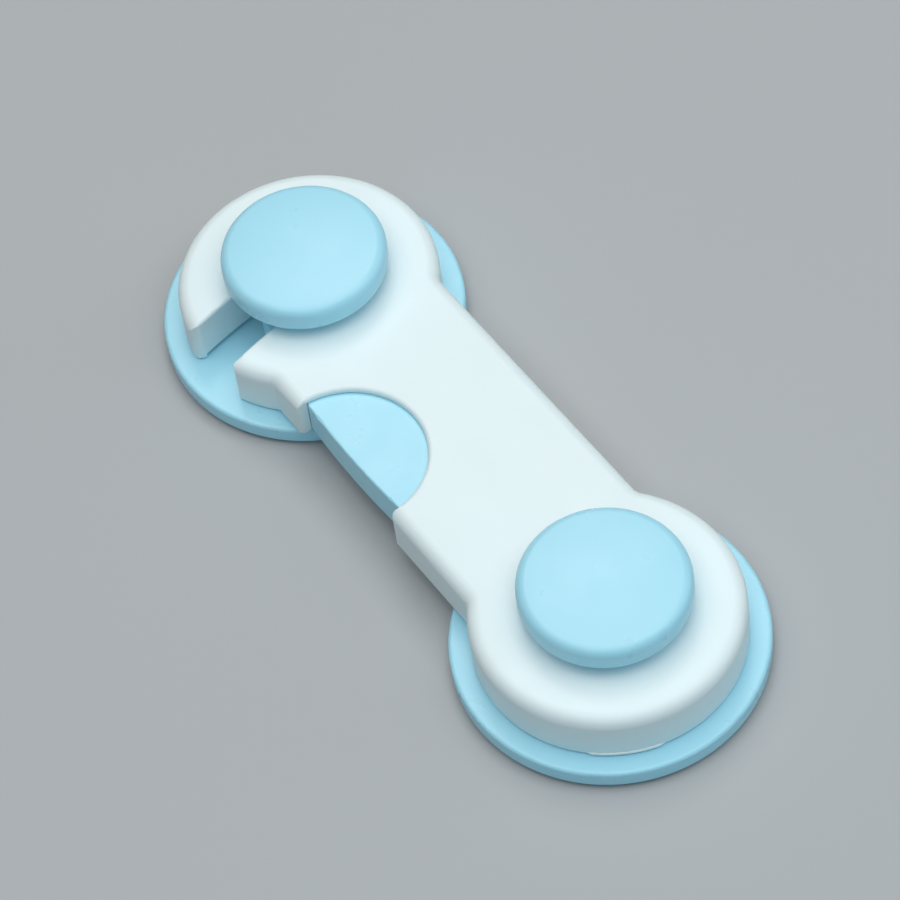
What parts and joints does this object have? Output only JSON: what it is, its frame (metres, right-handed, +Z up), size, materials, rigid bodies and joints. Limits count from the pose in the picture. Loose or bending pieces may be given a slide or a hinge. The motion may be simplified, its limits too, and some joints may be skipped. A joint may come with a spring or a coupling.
{
  "type": "cabinet safety lock",
  "caption": "Stick-on cabinet safety lock: round adhesive bases joined by a swinging dumbbell-shaped arm, with a hook that a sprung half-moon push button frees.",
  "frame": {"origin": "midway between the two bases, on the undersides of the adhesive pads", "axes": "+X from the catch base to the pivot base, +Z up off the mounting surface, button and slot mouth on -Y"},
  "size_m": [0.105, 0.04, 0.0165],
  "materials": {
    "blue_plastic": "smooth semi-gloss pale blue moulded plastic",
    "white_plastic": "smooth semi-gloss white moulded plastic",
    "pad_foam": "matte closed-cell adhesive foam",
    "screw_steel": "zinc-plated steel"
  },
  "bodies": {
    "bases": {"pivot_pad": "pad_foam", "pivot_base": "blue_plastic", "pivot_screw": "screw_steel", "pivot_cap": "blue_plastic", "catch_pad": "pad_foam", "catch_base": "blue_plastic", "catch_screw": "screw_steel", "catch_cap": "blue_plastic"},
    "arm": {"arm_shell": "white_plastic", "arm_cover": "white_plastic", "cover_screws": "screw_steel", "button_spring": "screw_steel"},
    "button": {"release_button": "blue_plastic"},
    "latch": {"latch_bolt": "blue_plastic"}
  },
  "joints": [
    {"name": "arm_swing", "type": "hinge", "parent": "bases", "child": "arm", "pos_m": [0.0325, 0, 0], "axis": [0, 0, -1], "range_deg": [0, 340]},
    {"name": "button_press", "type": "slide", "parent": "arm", "child": "button", "axis": [0, 1, 0], "range_m": [0, 0.005], "stiffness_N_per_m": 300, "springref_m": -0.005, "deforming": ["button_spring"]},
    {"name": "latch_slide", "type": "slide", "parent": "arm", "child": "latch", "axis": [1, 0, 0], "range_m": [0, 0.005]}
  ],
  "couplings": [
    {"joint": "latch_slide", "follows": "button_press", "ratio": 1}
  ]
}
